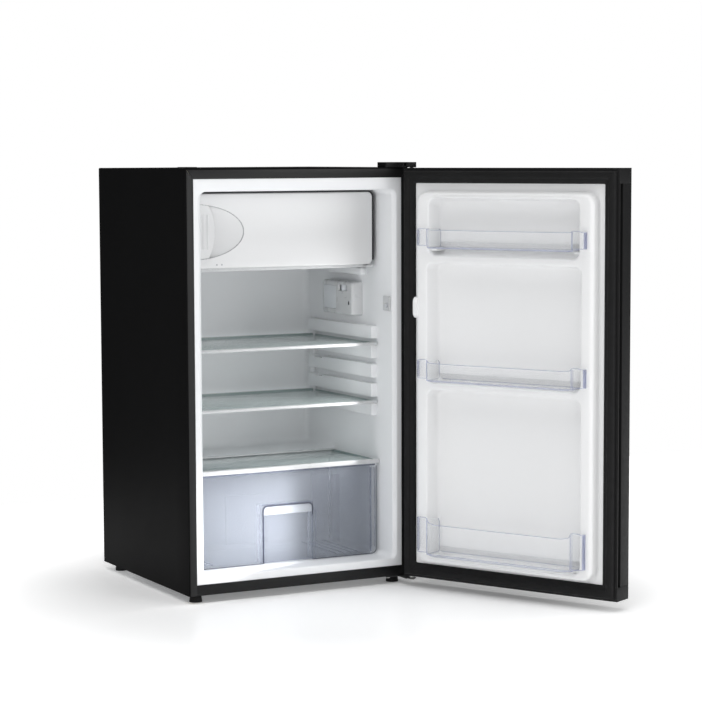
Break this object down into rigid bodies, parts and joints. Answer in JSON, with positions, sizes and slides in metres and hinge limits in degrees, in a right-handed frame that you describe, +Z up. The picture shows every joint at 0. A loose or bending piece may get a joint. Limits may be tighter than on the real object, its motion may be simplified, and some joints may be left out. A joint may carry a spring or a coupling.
{
  "type": "mini fridge",
  "caption": "Free-standing mini refrigerator with an open door on vertical hinges, an inner freezer box, glass shelves, door racks and a clear crisper drawer.",
  "frame": {"origin": "on the floor, under the middle of the cabinet body (door, condenser and feet not counted)", "axes": "+X to the right as seen from the front, +Y from the front to the back, +Z up; the door opens towards -Y on hinges at +X"},
  "size_m": [0.6954, 0.9019, 0.825],
  "materials": {
    "galvanised_steel": "satin",
    "cabinet_black": "satin",
    "compressor_black": "satin",
    "grommet_rubber": "matte",
    "zinc_steel": "satin",
    "hinge_steel": "satin",
    "condenser_black": "satin",
    "black_plastic": "matte",
    "shelf_glass": "polished",
    "trim_white": "gloss",
    "drawer_clear": "gloss",
    "rack_clear": "gloss",
    "insulation": "matte",
    "gasket_black": "matte",
    "door_liner_white": "gloss",
    "liner_white": "gloss",
    "evaporator_aluminium": "satin",
    "copper_tube": "satin",
    "flap_white": "gloss",
    "bulb_glass": "polished",
    "lens_clear": "gloss",
    "knob_grey": "satin"
  },
  "bodies": {
    "cabinet": {"base_pan": "galvanised_steel", "cabinet_shell": "cabinet_black", "compressor": "compressor_black", "compressor_bay_cover": "galvanised_steel", "compressor_grommets": "grommet_rubber", "compressor_plate": "galvanised_steel", "condenser_brackets": "black_plastic", "condenser_tube": "condenser_black", "condenser_wires": "condenser_black", "evaporator": "evaporator_aluminium", "evaporator_hangers": "trim_white", "filter_dryer": "copper_tube", "foot_inserts": "trim_white", "freezer_frame": "trim_white", "front_bottom_rail": "cabinet_black", "hinge_hole_plug": "black_plastic", "inner_liner": "liner_white", "insulation_foam": "insulation", "lamp_bulb": "bulb_glass", "lamp_lens": "lens_clear", "light_switch_plate": "trim_white", "lower_hinge_bracket": "hinge_steel", "lower_hinge_pin": "zinc_steel", "power_inlet": "black_plastic", "rear_feet": "black_plastic", "rear_panel": "galvanised_steel", "refrigerant_lines": "copper_tube", "relay_cover": "black_plastic", "screws_and_nuts": "zinc_steel", "thermostat_control": "trim_white", "thermostat_housing": "trim_white", "top_hinge_bracket": "hinge_steel", "top_hinge_cover": "black_plastic", "top_hinge_pin": "zinc_steel"},
    "door": {"door_bottom_cap": "black_plastic", "door_edge_profile": "black_plastic", "door_foam": "insulation", "door_gasket": "gasket_black", "door_hinge_bushes": "black_plastic", "door_liner": "door_liner_white", "door_outer_panel": "cabinet_black", "door_top_cap": "black_plastic"},
    "freezer_door": {"freezer_flap": "flap_white", "freezer_flap_back": "trim_white", "freezer_flap_pins": "zinc_steel"},
    "upper_shelf": {"shelf_glass_upper": "shelf_glass", "shelf_trim_upper": "trim_white"},
    "lower_shelf": {"shelf_glass_lower": "shelf_glass", "shelf_trim_lower": "trim_white"},
    "crisper_cover": {"crisper_cover_glass": "shelf_glass", "crisper_cover_trim": "trim_white"},
    "crisper": {"crisper_drawer": "drawer_clear"},
    "thermostat_wheel": {"thermostat_knob": "knob_grey"},
    "switch_lever": {"light_switch_paddle": "trim_white"},
    "rack_upper": {"door_rack_upper": "rack_clear"},
    "rack_middle": {"door_rack_middle": "rack_clear"},
    "rack_lower": {"door_rack_lower": "rack_clear"},
    "foot_left": {"front_foot_left": "black_plastic"},
    "foot_right": {"front_foot_right": "black_plastic"}
  },
  "joints": [
    {"name": "door_hinge", "type": "hinge", "parent": "cabinet", "child": "door", "pos_m": [0.228, -0.242, 0.4], "axis": [0, 0, 1], "range_deg": [-116.4, 18]},
    {"name": "freezer_door_hinge", "type": "hinge", "parent": "cabinet", "child": "freezer_door", "pos_m": [0.188, -0.141, 0.696], "axis": [0, 0, 1], "range_deg": [0, 85]},
    {"name": "upper_shelf_slide", "type": "slide", "parent": "cabinet", "child": "upper_shelf", "axis": [0, -1, 0], "range_m": [0, 0.25]},
    {"name": "lower_shelf_slide", "type": "slide", "parent": "cabinet", "child": "lower_shelf", "axis": [0, -1, 0], "range_m": [0, 0.25]},
    {"name": "crisper_cover_slide", "type": "slide", "parent": "cabinet", "child": "crisper_cover", "axis": [0, -1, 0], "range_m": [0, 0.17]},
    {"name": "crisper_slide", "type": "slide", "parent": "cabinet", "child": "crisper", "axis": [0, -1, 0], "range_m": [0, 0.18]},
    {"name": "rack_upper_lift", "type": "slide", "parent": "door", "child": "rack_upper", "axis": [0, 0, 1], "range_m": [0, 0.025]},
    {"name": "rack_middle_lift", "type": "slide", "parent": "door", "child": "rack_middle", "axis": [0, 0, 1], "range_m": [0, 0.025]},
    {"name": "rack_lower_lift", "type": "slide", "parent": "door", "child": "rack_lower", "axis": [0, 0, 1], "range_m": [0, 0.025]},
    {"name": "thermostat_turn", "type": "hinge", "parent": "cabinet", "child": "thermostat_wheel", "pos_m": [0.19, -0.047, 0.575], "axis": [0, 0, 1], "range_deg": [-135, 135]},
    {"name": "switch_press", "type": "slide", "parent": "cabinet", "child": "switch_lever", "axis": [0, 1, 0], "range_m": [0, 0.006], "stiffness_N_per_m": 60},
    {"name": "foot_left_screw", "type": "hinge", "parent": "cabinet", "child": "foot_left", "pos_m": [-0.212, -0.189, 0], "axis": [0, 0, 1], "continuous": true},
    {"name": "foot_right_screw", "type": "hinge", "parent": "cabinet", "child": "foot_right", "pos_m": [0.212, -0.189, 0], "axis": [0, 0, 1], "continuous": true}
  ]
}
